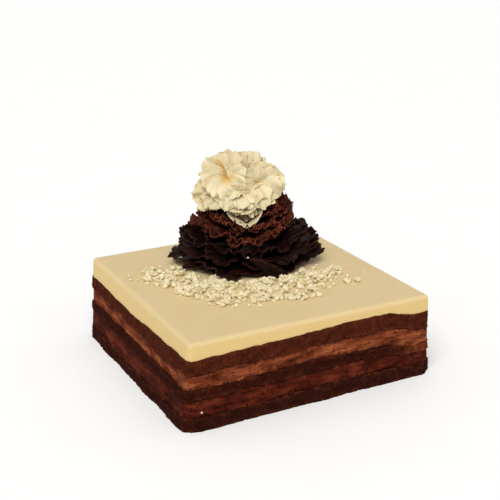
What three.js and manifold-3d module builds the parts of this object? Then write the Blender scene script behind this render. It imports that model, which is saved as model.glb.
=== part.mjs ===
// A square chocolate mousse cake: three dark sponges with two chocolate mousses between them,
// a white chocolate mousse on top, white chocolate crumbs strewn in a crescent, and a flower of
// chocolate ruffles in three colours. Millimetres, +Z up. The origin is the middle of the cake's
// footprint on the table.

import * as THREE from "three";
import { mergeVertices } from "three/addons/utils/BufferGeometryUtils.js";
import Module from "manifold-3d";

const wasm = await Module();
wasm.setup();

// ---------------------------------------------------------------------------------------------
// Driving dimensions
// ---------------------------------------------------------------------------------------------

const GAP = 0.3; // between pieces that touch

// The layers from the table upwards: name, thickness and what each is made of.
const LAYERS = [
  { name: "bottom_sponge", thickness: 8.7, made: "sponge" },
  { name: "lower_mousse", thickness: 12.5, made: "mousse" },
  { name: "middle_sponge", thickness: 6.4, made: "sponge" },
  { name: "upper_mousse", thickness: 10.2, made: "mousse" },
  { name: "top_sponge", thickness: 10.3, made: "sponge" },
];
const WHITE_TOP_THICKNESS = 12.2;
const LAYERS_HEIGHT = LAYERS.reduce((sum, layer) => sum + layer.thickness, 0);
const CAKE_HEIGHT = LAYERS_HEIGHT + WHITE_TOP_THICKNESS;

// The cake was cut by hand, so its corners aren't quite square and it spreads towards the table.
// Corners run anticlockwise from the one nearest the viewer.
const FOOT_CORNERS = [[-94.5, -87.5], [95.5, -88.5], [93.5, 89.5], [-94.5, 88]];
const RIM_CORNERS = [[-90, -87], [86.5, -90.5], [89, 89.5], [-88, 88]];
const FOOT_CORNER_RADIUS = 10;
const RIM_CORNER_RADIUS = 2.5;
const SIDE_STEPS = 9; // stretches along each side
const CORNER_STEPS = 3; // divisions of each rounded corner
const OUTLINE_STEPS = SIDE_STEPS + CORNER_STEPS;

// The ruffle flower stands towards the back of the cake.
const FLOWER = new THREE.Vector3(12.5, 33, CAKE_HEIGHT);
const FACING = THREE.MathUtils.degToRad(241.8); // the side that the cake is looked at from
const RUFFLE_THICKNESS = 1.1;
const RUFFLE_WIDTH = 0.96; // as a share of its place in the ring
const CORE_RADIUS = 6.2;
const ROOT_RADIUS = CORE_RADIUS + 1;
const SHEET_ROWS = 2; // divisions from a ruffle's root to its tip

// The rings of ruffles, from the cake upwards. Lengths in mm, angles in degrees.
//   count, turn          ruffles in the ring, and where the first one points
//   root                 height of the gathered end above the cake
//   front, flank, back   on those sides of the flower: the frilled edge's radius and height, and how
//                        far a ruffle arches up on the way there, or sags like a bowl
//   narrow               how soon the front and the back give way to the flanks
//   lean                 how far the frilled edges lean to the viewer's right
//   frills, frill, fold  waves round the whole ring, their height and how far they lean over
//   steps                divisions along the frilled edge
const RINGS = [
  {
    name: "dark_ruffle_low", colour: "dark", count: 5, turn: 20, root: 1.7,
    front: [47, 3.2, 1.5], flank: [51, 5.5, 1.5], back: [48, 5, 1.5], narrow: 2, lean: -3.5,
    frills: 12, frill: 1.7, fold: 1, steps: 19,
  },
  {
    name: "dark_ruffle_mid", colour: "dark", count: 5, turn: 54, root: 5.3,
    front: [46, 10.5, 2], flank: [52, 15, 2], back: [47, 14, 2], narrow: 2, lean: 1.5,
    frills: 13, frill: 2.2, fold: 1.1, steps: 19,
  },
  {
    name: "dark_ruffle_high", colour: "dark", count: 4, turn: 5, root: 9,
    front: [43, 18, 2], flank: [48, 27.5, 2], back: [43, 24, 2], narrow: 2, lean: 0,
    frills: 12, frill: 2.6, fold: 1.2, steps: 21,
  },
  {
    name: "brown_ruffle_low", colour: "brown", count: 5, turn: 40, root: 19.5,
    front: [42, 25, 2], flank: [34.5, 36, 2], back: [36, 37, 2], narrow: 2, lean: -1,
    frills: 15, frill: 2, fold: 0.7, steps: 20,
  },
  {
    name: "brown_ruffle_mid", colour: "brown", count: 4, turn: 82, root: 23.5,
    front: [32, 32, 1.5], flank: [31, 42, 0.5], back: [31, 43, 0.5], narrow: 2, lean: 0,
    frills: 13, frill: 1.9, fold: 0.7, steps: 21,
  },
  {
    name: "brown_ruffle_high", colour: "brown", count: 3, turn: 20, root: 27.5,
    front: [24, 38, 1], flank: [25, 46.5, 0.4], back: [24, 48.5, 0.4], narrow: 2, lean: 0,
    frills: 11, frill: 1.8, fold: 0.6, steps: 22,
  },
  {
    name: "white_ruffle_low", colour: "white", count: 4, turn: 62, root: 42,
    front: [31, 40, 3], flank: [32, 56, 0.5], back: [28, 60, 0.5], narrow: 6, lean: -4,
    frills: 10, frill: 2.4, fold: 1, steps: 18,
  },
  {
    name: "white_ruffle_mid", colour: "white", count: 3, turn: 25, root: 46,
    front: [29, 58, -2], flank: [30, 64, -1], back: [26, 69, -1], narrow: 2, lean: -4,
    frills: 9, frill: 2.4, fold: 1, steps: 20,
  },
  {
    name: "white_ruffle_high", colour: "white", count: 3, turn: 59, root: 50,
    front: [18, 72, -3], flank: [19, 77, -3], back: [18, 78, -3], narrow: 2, lean: -4.5,
    frills: 8, frill: 1.9, fold: 0.7, steps: 18,
  },
];
const ROOT_TILT = 0.95; // how far one side edge of a ruffle lies over the next one, at the root
const TIP_TILT = 1.3; // and at the frilled edge

// The flower's middle: a gathered core for each colour, one on the other, and above them a
// rolled ruffle that shows at the top. Heights above the cake.
const CORES = [
  { name: "dark_core", colour: "dark", foot: GAP, top: 18 },
  { name: "brown_core", colour: "brown", foot: 18 + GAP, top: 40 },
  { name: "white_core", colour: "white", foot: 40 + GAP, top: 52 },
];
const BUD = {
  foot: 52 + GAP,
  height: 26,
  lean: -2,
  turns: 1.6,
  innerRadius: 2.2,
  footRadius: 5.5,
  topRadius: 11,
  steps: 30,
};

// The crumbs lie in a crescent round the flower's front.
const CRUMBS = {
  count: 60,
  innerRadius: 57,
  outerRadius: 94,
  halfAngle: 1.12, // radians either side of the way that the flower faces
  smallest: 1,
  largest: 2.1,
  standing: 0.25, // height of a crumb's middle above the cream, as a share of its radius
};

const COLOURS = {
  sponge: { color: 0x2e0f08, roughness: 0.9 },
  mousse: { color: 0x6b2f1a, roughness: 0.7 },
  whiteTop: { color: 0xdcc48e, roughness: 0.45 },
  dark: { color: 0x160907, roughness: 0.35 },
  brown: { color: 0x4a1c10, roughness: 0.45 },
  white: { color: 0xeee2c2, roughness: 0.45 },
};

// ---------------------------------------------------------------------------------------------
// Helpers
// ---------------------------------------------------------------------------------------------

// The same spread of numbers from -1 to 1 every time, evenly scattered.
const GOLDEN = 0.6180339887;
const PLASTIC = 0.7548776662;
const scatter = (k, step = GOLDEN) => 2 * ((k * step + 0.37) % 1) - 1;

const radians = THREE.MathUtils.degToRad;
const lerp = THREE.MathUtils.lerp;

function named(name, geometry, look) {
  const material = new THREE.MeshStandardMaterial({ ...COLOURS[look], metalness: 0 });
  const mesh = new THREE.Mesh(geometry, material);
  mesh.name = name;
  return mesh;
}

// Keeps only the positions and joins the shared corners.
function closed(geometry) {
  geometry.deleteAttribute("normal");
  geometry.deleteAttribute("uv");
  return mergeVertices(geometry, 1e-4);
}

function solidOf(geometry) {
  const merged = closed(geometry.clone());
  const mesh = new wasm.Mesh({
    numProp: 3,
    vertProperties: merged.attributes.position.array,
    triVerts: new Uint32Array(merged.index.array),
  });
  return new wasm.Manifold(mesh);
}

function geometryOf(solid) {
  const mesh = solid.getMesh();
  return new THREE.BufferGeometry()
    .setAttribute("position", new THREE.BufferAttribute(mesh.vertProperties, 3))
    .setIndex(new THREE.BufferAttribute(mesh.triVerts, 1));
}

// ---------------------------------------------------------------------------------------------
// The layers
// ---------------------------------------------------------------------------------------------

// A point of the cake's outline at a height. Points are counted anticlockwise: each side has
// SIDE_STEPS stretches, and each rounded corner CORNER_STEPS more. outwards moves it off the outline.
function outlinePoint(index, height, outwards) {
  const side = Math.floor(index / OUTLINE_STEPS) % 4;
  const step = index % OUTLINE_STEPS;
  const up = height / CAKE_HEIGHT;
  const [from, to] = [side, (side + 1) % 4].map((corner) =>
    new THREE.Vector2(...FOOT_CORNERS[corner]).lerp(new THREE.Vector2(...RIM_CORNERS[corner]), up),
  );
  const radius = lerp(FOOT_CORNER_RADIUS, RIM_CORNER_RADIUS, up);
  const along = to.clone().sub(from).normalize();
  const normal = new THREE.Vector2(along.y, -along.x);
  if (step <= SIDE_STEPS) {
    const straight = from.distanceTo(to) - 2 * radius;
    return from
      .addScaledVector(along, radius + (straight * step) / SIDE_STEPS)
      .addScaledVector(normal, outwards);
  }
  const turn = ((step - SIDE_STEPS) / CORNER_STEPS) * (Math.PI / 2);
  to.addScaledVector(along, -radius).addScaledVector(normal, -radius);
  const spoke = normal.multiplyScalar(Math.cos(turn)).addScaledVector(along, Math.sin(turn));
  return to.addScaledVector(spoke, radius + outwards);
}

// The seams between layers aren't level: they rise and fall by about a millimetre along the sides.
function seamWave(level, turn) {
  if (level === 0 || level > LAYERS.length) return 0;
  return 0.55 * Math.sin(3 * turn + 1.7 * level) + 0.4 * Math.sin(7 * turn + 2.3 * level * level);
}

// How far the side of a layer stands in or out: sponge crags more than mousse.
function sideRelief(made, level, turn, share) {
  const crag = Math.sin(13 * turn + 4 * level + 2 * share) + Math.sin(22 * turn - 3 * level);
  if (made === "sponge") return 0.32 * crag;
  return made === "mousse" ? 0.14 * crag - 0.4 : 0.05 * crag;
}

// A slab between two seams: a cylinder whose rings are laid along the cake's outline.
// rounding is how far its upper edge is drawn in.
function slab(level, bottom, top, made, rounding) {
  const rows = rounding ? [0, 0.45, 0.9, 1] : [0, 0.5, 1];
  const around = 4 * OUTLINE_STEPS;
  const geometry = new THREE.CylinderGeometry(1, 1, 1, around, rows.length - 1);
  geometry.rotateX(Math.PI / 2).translate(0, 0, 0.5);
  const position = geometry.attributes.position;
  for (let i = 0; i < position.count; i++) {
    const [x, y] = [position.getX(i), position.getY(i)];
    const row = Math.round(position.getZ(i) * (rows.length - 1));
    const atMiddle = Math.hypot(x, y) < 0.5;
    const turn = atMiddle ? 0 : Math.atan2(x, -y);
    const index = Math.round((turn / (2 * Math.PI)) * around + around) % around;
    const low = bottom + (atMiddle ? 0 : seamWave(level, turn)) + (level > 0 ? GAP : 0);
    const high = top + (atMiddle ? 0 : seamWave(level + 1, turn));
    const height = lerp(low, high, rows[row]);
    const drawnIn = row === rows.length - 1 ? rounding : 0;
    const outwards = sideRelief(made, level, turn, rows[row]) - drawnIn;
    const place = atMiddle ? new THREE.Vector2(0, 0) : outlinePoint(index, height, outwards);
    position.setXYZ(i, place.x, place.y, height);
  }
  return closed(geometry);
}

// ---------------------------------------------------------------------------------------------
// The crumbs, fused to the white top
// ---------------------------------------------------------------------------------------------

function crumb(k) {
  const { innerRadius, outerRadius, halfAngle, smallest, largest, standing } = CRUMBS;
  const size = lerp(smallest, largest, Math.abs(scatter(k, 0.377)) ** 2);
  const across = scatter(k);
  const outwards = (scatter(k, PLASTIC) + 1) / 2;
  // The crescent narrows towards its two ends.
  const taper = 1 - 0.55 * across * across;
  const middle = lerp(innerRadius, outerRadius, 0.45);
  const radius = middle + (outwards - 0.45) * (outerRadius - innerRadius) * taper;
  const angle = FACING + across * halfAngle;
  const geometry = new THREE.IcosahedronGeometry(size, 0);
  geometry.scale(1, 0.8 + 0.15 * scatter(k, 0.51), 0.75);
  geometry.rotateZ(k);
  geometry.rotateX(0.4 * scatter(k, 0.83));
  return geometry.translate(
    FLOWER.x + radius * Math.cos(angle),
    FLOWER.y + radius * Math.sin(angle),
    CAKE_HEIGHT + size * standing,
  );
}

function whiteTopWithCrumbs() {
  const slabSolid = solidOf(slab(LAYERS.length, LAYERS_HEIGHT, CAKE_HEIGHT, "whiteTop", 1.2));
  const crumbs = Array.from({ length: CRUMBS.count }, (_, k) => solidOf(crumb(k)));
  return geometryOf(crumbs.reduce((whole, piece) => whole.add(piece), slabSolid));
}

// ---------------------------------------------------------------------------------------------
// The ruffles
// ---------------------------------------------------------------------------------------------

// A thin closed sheet over a grid: pointAt(u, t) gives its middle surface for u and t from 0 to 1.
// Both faces are split into triangles alike, and a rim joins them.
function thinSheet(columns, rows, thickness, pointAt) {
  const grid = new THREE.PlaneGeometry(1, 1, columns, rows);
  const flat = grid.attributes.position;
  const count = flat.count;
  const both = new Float32Array(count * 6);
  const step = 1e-3;
  for (let i = 0; i < count; i++) {
    const [u, t] = [flat.getX(i) + 0.5, flat.getY(i) + 0.5];
    const alongU = pointAt(u + step, t).sub(pointAt(u - step, t));
    const alongT = pointAt(u, t + step).sub(pointAt(u, t - step));
    const half = alongU.cross(alongT).setLength(thickness / 2);
    const middle = pointAt(u, t);
    middle.clone().add(half).toArray(both, i * 3);
    middle.clone().sub(half).toArray(both, (count + i) * 3);
  }
  const front = Array.from(grid.index.array);
  const faces = [...front];
  for (let i = 0; i < front.length; i += 3)
    faces.push(front[i] + count, front[i + 2] + count, front[i + 1] + count);
  const wide = columns + 1;
  const last = rows * wide;
  const border = [
    ...Array.from({ length: columns }, (_, k) => last + k),
    ...Array.from({ length: rows }, (_, k) => last + columns - k * wide),
    ...Array.from({ length: columns }, (_, k) => columns - k),
    ...Array.from({ length: rows }, (_, k) => k * wide),
  ];
  border.forEach((a, k) => {
    const b = border[(k + 1) % border.length];
    faces.push(b, a, a + count, b, a + count, b + count);
  });
  return new THREE.BufferGeometry()
    .setAttribute("position", new THREE.BufferAttribute(both, 3))
    .setIndex(faces);
}

// A point at a radius, an angle and a height from the flower's foot, moved to the viewer's right.
function roundFlower(radius, angle, height, lean) {
  return new THREE.Vector3(
    FLOWER.x + radius * Math.cos(angle) - lean * Math.sin(FACING),
    FLOWER.y + radius * Math.sin(angle) + lean * Math.cos(FACING),
    FLOWER.z + height,
  );
}

// The line that a ring's ruffles follow outwards at an angle round the flower, as radius and height.
function meridian(ring, angle, jitter) {
  const towards = Math.cos(angle - FACING);
  const other = towards > 0 ? ring.front : ring.back;
  const [radius, height, bow] = ring.flank.map((flank, i) =>
    lerp(flank, other[i], Math.abs(towards) ** ring.narrow),
  );
  const root = new THREE.Vector2(ROOT_RADIUS, ring.root);
  const tip = new THREE.Vector2(radius, height).sub(root).multiplyScalar(jitter).add(root);
  const across = tip.clone().sub(root).normalize();
  const arch = new THREE.Vector2(-across.y, across.x).multiplyScalar(2 * bow);
  const control = root.clone().lerp(tip, 0.5).add(arch);
  return new THREE.QuadraticBezierCurve(root, control, tip);
}

// A ruffle's middle surface. side runs from -1 to 1 across it, and out from 0 at the gathered root
// to 1 at the frilled edge. The waves belong to the whole ring, so neighbours nest in each other.
function rufflePoint(ring, k, side, out) {
  const angle = radians(ring.turn) + ((k + 0.5 * RUFFLE_WIDTH * side) * 2 * Math.PI) / ring.count;
  const line = meridian(ring, angle, 1 + 0.04 * scatter(k + ring.root) - 0.06 * side * side);
  const { x: radius, y: height } = line.getPoint(out);
  const slope = line.getTangent(out).angle();
  const wave = ring.frills * angle + ring.root;
  const grown = Math.max(0, out) ** 1.5;
  const raised = ring.frill * grown * Math.sin(wave) + lerp(ROOT_TILT, TIP_TILT, out) * side;
  const about = angle - (ring.fold * grown * Math.sin(2 * wave)) / radius;
  const across = radius - raised * Math.sin(slope);
  return roundFlower(across, about, height + raised * Math.cos(slope), ring.lean * out);
}

function ruffle(ring, k) {
  const at = (u, t) => rufflePoint(ring, k, 2 * u - 1, t);
  return thinSheet(ring.steps, SHEET_ROWS, RUFFLE_THICKNESS, at);
}

// A gathered core of chocolate that the ruffles of one colour lean on.
function core({ foot, top }) {
  const profile = [
    [0, foot],
    [CORE_RADIUS - 0.8, foot],
    [CORE_RADIUS, foot + 2],
    [CORE_RADIUS - 1, top - 2],
    [CORE_RADIUS - 2.2, top],
    [0, top],
  ].map(([radius, height]) => new THREE.Vector2(radius, height));
  const turned = new THREE.LatheGeometry(profile, 14);
  return closed(turned.rotateX(Math.PI / 2).translate(FLOWER.x, FLOWER.y, FLOWER.z));
}

// The rolled ruffle in the flower's middle: a spiral sheet, narrow at its foot and open at its top.
function bud() {
  const { foot, height, lean, turns, innerRadius, footRadius, topRadius, steps } = BUD;
  const at = (u, t) => {
    const angle = FACING + 0.9 + u * turns * 2 * Math.PI;
    const opened = Math.max(0, t) ** 1.4;
    const radius = lerp(innerRadius * (0.6 + 0.4 * opened), lerp(footRadius, topRadius, opened), u);
    const frill = t ** 3 * (1.1 * Math.sin(5 * angle) + 0.7 * Math.sin(11 * angle));
    const up = foot + RUFFLE_THICKNESS / 2 + height * t * (1 - 0.22 * u) + frill;
    return roundFlower(radius + 0.35 * frill, angle, up, lean * opened);
  };
  return thinSheet(steps, 3, RUFFLE_THICKNESS, at);
}

function flower() {
  const cores = CORES.map((piece) => named(piece.name, core(piece), piece.colour));
  const ruffles = RINGS.flatMap((ring) =>
    Array.from({ length: ring.count }, (_, k) =>
      named(`${ring.name}_${k + 1}`, ruffle(ring, k), ring.colour),
    ),
  );
  return [...cores, ...ruffles, named("white_bud", bud(), "white")];
}

// ---------------------------------------------------------------------------------------------
// The whole cake
// ---------------------------------------------------------------------------------------------

const cake = new THREE.Group();
LAYERS.reduce((foot, layer, level) => {
  const top = foot + layer.thickness;
  cake.add(named(layer.name, slab(level, foot, top, layer.made, 0), layer.made));
  return top;
}, 0);
cake.add(named("white_top", whiteTopWithCrumbs(), "whiteTop"));
cake.add(...flower());

export default cake;
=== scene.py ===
# %% [markdown]
# # A chocolate mousse cake with a ruffle flower
# The cake is a square of five dark layers under a thick white mousse. White chocolate crumbs lie in
# a crescent on it, and a flower of chocolate ruffles in three colours stands towards the back. The
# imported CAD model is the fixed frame: every piece below is made in metres in the same place. Most
# of them replace the plain solids that stand for them, and the rest add what is too fine for those.

# %% Load the frame
import math
import random

import bmesh
import bpy
from mathutils import Matrix, Vector, noise


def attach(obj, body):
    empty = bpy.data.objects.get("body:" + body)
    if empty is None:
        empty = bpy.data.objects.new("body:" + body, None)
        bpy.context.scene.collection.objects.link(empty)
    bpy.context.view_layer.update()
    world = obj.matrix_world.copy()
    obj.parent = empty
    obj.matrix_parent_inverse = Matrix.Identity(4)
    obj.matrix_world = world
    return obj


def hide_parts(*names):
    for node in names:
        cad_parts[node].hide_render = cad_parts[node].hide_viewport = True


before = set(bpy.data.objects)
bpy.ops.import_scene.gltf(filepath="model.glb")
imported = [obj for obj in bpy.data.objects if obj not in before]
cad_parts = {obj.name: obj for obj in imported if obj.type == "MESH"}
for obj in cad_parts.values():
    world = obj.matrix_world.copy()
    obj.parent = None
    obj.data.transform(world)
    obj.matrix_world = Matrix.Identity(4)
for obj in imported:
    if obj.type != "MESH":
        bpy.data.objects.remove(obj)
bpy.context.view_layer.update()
MM = 0.001
print("nodes in the frame:", len(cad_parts))

# %% [markdown]
# ## Camera
# The photograph was taken from about 0.7 m away and 19 degrees above the table, turned so that one
# corner of the cake comes nearest. A camera could be placed by eye, but here its place was worked
# out from the cake's corners, so that the corners fall where the picture has them.

# %% Camera
AZIMUTH = math.radians(-28.18)
ELEVATION = math.radians(19.36)
CAMERA_PLACE = (-0.31535, -0.58472, 0.31203)
camera_data = bpy.data.cameras.new("camera")
camera_data.lens = 72
camera_data.sensor_width = 36
camera = bpy.data.objects.new("camera", camera_data)
bpy.context.scene.collection.objects.link(camera)
backwards = Vector((
    math.sin(AZIMUTH) * math.cos(ELEVATION),
    -math.cos(AZIMUTH) * math.cos(ELEVATION),
    math.sin(ELEVATION),
))
camera.location = CAMERA_PLACE
camera.rotation_euler = (-backwards).to_track_quat("-Z", "Y").to_euler()
bpy.context.scene.camera = camera
print("camera distance in m:", round(camera.location.length, 3))

# %% [markdown]
# ## Light
# The picture was lit softly from behind the camera, well above it and a little to its left: the two
# cut sides are nearly as bright as the top, and the dark flower stays dark between its ruffles. A
# small lamp would throw a hard shadow that the picture hasn't got, so a broad sun does the work, with
# a dim white room round it that keeps the folds from closing up.

# %% Light
bpy.context.scene.view_settings.view_transform = "Standard"
ROOM_STRENGTH = 0.5
SUN_STRENGTH = 2.5
SUN_WIDTH = math.radians(40)
SUN_FROM = Vector((-0.46, -0.62, 0.9))
SUN_COLOUR = (1, 0.985, 0.96)
world = bpy.data.worlds.new("room")
world.use_nodes = True
world.node_tree.nodes["Background"].inputs["Color"].default_value = (1, 1, 1, 1)
world.node_tree.nodes["Background"].inputs["Strength"].default_value = ROOM_STRENGTH
bpy.context.scene.world = world
sun_data = bpy.data.lights.new("window", "SUN")
sun_data.energy = SUN_STRENGTH
sun_data.angle = SUN_WIDTH
sun_data.color = SUN_COLOUR
sun = bpy.data.objects.new("window", sun_data)
sun.rotation_euler = SUN_FROM.to_track_quat("Z", "Y").to_euler()
bpy.context.scene.collection.objects.link(sun)
print("sun height in degrees:", round(math.degrees(math.asin(SUN_FROM.normalized().z)), 1))

# %% [markdown]
# ## Arithmetic for materials
# A finish is a small calculation: a noise here, a mask there, one colour laid over another. Wiring
# nodes by hand hides that calculation, so one small class wraps a socket and lets Python's own
# signs add the Math nodes. Every other node comes from its node method.


# %% A socket with arithmetic
class Flow:
    """A value in a material. Signs add Math nodes, and node adds any other node."""

    def __init__(self, tree, socket=None):
        self.tree = tree
        self.socket = socket

    def node(self, kind, settings=None, sockets=None, output=0):
        made = self.tree.nodes.new(kind)
        for name, value in (settings or {}).items():
            if name == "stops":
                ramp = made.color_ramp
                while len(ramp.elements) < len(value):
                    ramp.elements.new(0.5)
                for element, (place, colour) in zip(ramp.elements, value):
                    element.position = place
                    element.color = (*colour, 1)
            else:
                setattr(made, name, value)
        for name, value in (sockets or {}).items():
            if isinstance(value, Flow):
                self.tree.links.new(value.socket, made.inputs[name])
            else:
                made.inputs[name].default_value = value
        return Flow(self.tree, made.outputs[output] if len(made.outputs) else None)

    def math(self, operation, *values):
        return self.node("ShaderNodeMath", {"operation": operation}, dict(enumerate(values)))

    def __add__(self, other):
        return self.math("ADD", self, other)

    __radd__ = __add__

    def __mul__(self, other):
        return self.math("MULTIPLY", self, other)

    __rmul__ = __mul__

    def __sub__(self, other):
        return self.math("SUBTRACT", self, other)

    def __rsub__(self, other):
        return self.math("SUBTRACT", other, self)

    def __pow__(self, other):
        return self.math("POWER", self, other)

    def clamped(self):
        return self.node("ShaderNodeClamp", {}, {"Value": self})

    def step(self, low, high):
        """0 below low, 1 above high, and smooth between them."""
        settings = {"interpolation_type": "SMOOTHSTEP"}
        sockets = {"Value": self, "From Min": low, "From Max": high}
        return self.node("ShaderNodeMapRange", settings, sockets)

    def place(self):
        return self.node("ShaderNodeTexCoord", output="Object")

    def outwards(self):
        """0 at the gathered end of a ruffle, and 1 at its frilled edge."""
        both = self.node("ShaderNodeUVMap", {"uv_map": "UVMap"})
        return self.node("ShaderNodeSeparateXYZ", {}, {0: both}, output="Y")

    def along(self, axis):
        """How far a point lies along one of the cake's axes, in m."""
        return self.node("ShaderNodeSeparateXYZ", {}, {0: self.place()}, output=axis)

    def seams(self):
        """1 at the seams above and below a layer, and 0 in its middle."""
        up = self.node("ShaderNodeAttribute", {"attribute_name": "up_the_layer"}, output="Fac")
        return 1 - up.step(0, 0.35) * (1 - up.step(0.65, 1))

    def noise(self, size, detail=4, roughness=0.55, distortion=0.0, at=None):
        """Cloudy noise whose blobs are about size mm across."""
        sockets = {
            "Vector": at or self.place(),
            "Scale": 1 / (size * MM),
            "Detail": detail,
            "Roughness": roughness,
            "Distortion": distortion,
        }
        return self.node("ShaderNodeTexNoise", {}, sockets)

    def cells(self, size, output="Distance"):
        """Rounded cells about size mm apart: how far a point is from its cell's middle, or its Color."""
        sockets = {"Vector": self.place(), "Scale": 1 / (size * MM)}
        return self.node("ShaderNodeTexVoronoi", {}, sockets, output=output)

    def stretched(self, x, y, z):
        """The place, scaled along each axis, for a grain that runs one way."""
        sockets = {"Vector": self.place(), "Scale": (x, y, z)}
        return self.node("ShaderNodeMapping", {}, sockets)

    def mix(self, low, high):
        """The colour low where this is 0, and high where it is 1."""
        settings = {"data_type": "RGBA", "clamp_factor": True}
        return self.node("ShaderNodeMix", settings, {0: self, 6: low, 7: high}, output=2)

    def ramp(self, *stops):
        return self.node("ShaderNodeValToRGB", {"stops": stops}, {"Fac": self})


def srgb(red, green, blue):
    """A colour as a paint program writes it, 0 to 255, made linear."""
    return tuple(
        c / 12.92 if c <= 0.04045 else ((c + 0.055) / 1.055) ** 2.4
        for c in (red / 255, green / 255, blue / 255)
    )


def opaque(red, green, blue):
    """The same colour for a socket, which asks for an alpha too."""
    return (*srgb(red, green, blue), 1)


def material(name, look):
    """A material whose surface sockets are what look returns, with an optional height for bumps."""
    made = bpy.data.materials.new(name)
    made.use_nodes = True
    tree = made.node_tree
    tree.nodes.clear()
    start = Flow(tree)
    sockets = look(start)
    height = sockets.pop("Height", None)
    if height is not None:
        bump = {"Strength": 1.0, "Distance": MM, "Height": height}
        sockets["Normal"] = start.node("ShaderNodeBump", {}, bump)
    surface = start.node("ShaderNodeBsdfPrincipled", {}, sockets)
    start.node("ShaderNodeOutputMaterial", {}, {"Surface": surface})
    return made


print("cocoa brown as linear light:", [round(c, 3) for c in srgb(74, 28, 21)])

# %% [markdown]
# ## Floor
# The cake stands on a plain white table, whose edge the picture doesn't show. A flat grid does for
# it, wide enough that its edge stays far off in every view. It also throws light back at the cut
# sides, as the real table did.

# %% Floor
FLOOR_REACH = 15  # m, from its middle to its edge


def floor_look(start):
    mottling = start.noise(60, detail=2)
    return {
        "Base Color": mottling.mix(opaque(247, 247, 247), opaque(250, 250, 250)),
        "Roughness": 0.75,
    }


bm = bmesh.new()
bmesh.ops.create_grid(bm, x_segments=2, y_segments=2, size=FLOOR_REACH)
mesh = bpy.data.meshes.new("floor")
bm.to_mesh(mesh)
bm.free()
floor = bpy.data.objects.new("floor", mesh)
bpy.context.scene.collection.objects.link(floor)
floor.data.materials.append(material("pale_table", floor_look))
print("floor reaches", round(floor.dimensions.x, 1), "m")

# %% [markdown]
# ## The cake's outline
# The cake was cut by hand, so its corners aren't quite square, and it spreads towards the table.
# Four corners at the foot and four at the rim say this, with a little rounding at each upright
# edge. Every layer follows the same outline, so the layers stay flush whatever their relief.

# %% Outline
LAYERS = [
    {"name": "bottom_sponge", "thickness": 8.7, "made": "sponge"},
    {"name": "lower_mousse", "thickness": 12.5, "made": "mousse"},
    {"name": "middle_sponge", "thickness": 6.4, "made": "sponge"},
    {"name": "upper_mousse", "thickness": 10.2, "made": "mousse"},
    {"name": "top_sponge", "thickness": 10.3, "made": "sponge"},
]
WHITE_TOP_THICKNESS = 12.2
LAYERS_HEIGHT = sum(layer["thickness"] for layer in LAYERS)
CAKE_HEIGHT = LAYERS_HEIGHT + WHITE_TOP_THICKNESS
FOOT_CORNERS = [Vector(c) for c in ((-94.5, -87.5), (95.5, -88.5), (93.5, 89.5), (-94.5, 88))]
RIM_CORNERS = [Vector(c) for c in ((-90, -87), (86.5, -90.5), (89, 89.5), (-88, 88))]
FOOT_CORNER_RADIUS = 10
RIM_CORNER_RADIUS = 2.5
STRAIGHT_SHARE = 0.75  # of the way from one corner to the next, by count
COLUMNS = 912  # round the whole cake, about 1 mm apart on the straight


def lerp(a, b, share):
    return a + (b - a) * share


def outline_point(turn, height, outwards):
    """A point of the outline, in mm. turn is an angle, counted anticlockwise from the near corner."""
    lap = (turn / (2 * math.pi)) % 1 * 4
    side = int(lap) % 4
    step = (lap - int(lap)) / STRAIGHT_SHARE
    up = height / CAKE_HEIGHT
    start = FOOT_CORNERS[side].lerp(RIM_CORNERS[side], up)
    end = FOOT_CORNERS[(side + 1) % 4].lerp(RIM_CORNERS[(side + 1) % 4], up)
    radius = lerp(FOOT_CORNER_RADIUS, RIM_CORNER_RADIUS, up)
    along = (end - start).normalized()
    normal = Vector((along.y, -along.x))
    if step <= 1:
        straight = (end - start).length - 2 * radius
        return start + along * (radius + straight * step) + normal * outwards
    bend = (step - 1) * STRAIGHT_SHARE / (1 - STRAIGHT_SHARE) * math.pi / 2
    spoke = normal * math.cos(bend) + along * math.sin(bend)
    return end - along * radius - normal * radius + spoke * (radius + outwards)


print("cake height in mm:", round(CAKE_HEIGHT, 1))

# %% [markdown]
# ## Seams
# The seams between the layers aren't level: the knife and the weight of the cream have pushed them up
# by a few millimetres along the front and down at the right corner. A table gives their heights at
# some places round the cake, and a smooth step from place to place keeps them free of kinks.

# %% Seams
SEAM_RISES = [
    # share of the way round from the near corner, and how many mm each seam lies above its level
    (0, (1, 0.6, 1, 0.6, 0.7)),
    (0.04, (1.2, 0.8, 1.8, 1.4, 1.8)),
    (0.084, (2.2, 1, 3.2, 3, 3.4)),
    (0.15, (3.2, 1.5, 1.5, 3, 5)),
    (0.183, (0.6, -3.2, -3, -2, 0.2)),
    (0.25, (0.6, -2.6, -2.4, -1.6, 0)),
    (0.36, (-0.8, 0.6, -0.5, 0.8, -0.4)),
    (0.5, (0.6, -0.5, 0.7, -0.4, 0.8)),
    (0.64, (-0.5, 0.7, 0.5, -0.6, -0.7)),
    (0.75, (0, 0, 0.4, 0, -1)),
    (0.814, (-1.2, -0.4, 1.4, -0.3, -2.2)),
    (0.9, (-0.7, -1.3, 0.9, -2.2, -0.7)),
    (0.932, (1, 0.6, 1, 0.6, 0.7)),
    (1, (1, 0.6, 1, 0.6, 0.7)),
]
RIPPLE_HEIGHT = 0.35
RIPPLES_ROUND = 9
RIPPLE_SHIFT = 2.3  # so that no two seams ripple together


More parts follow.
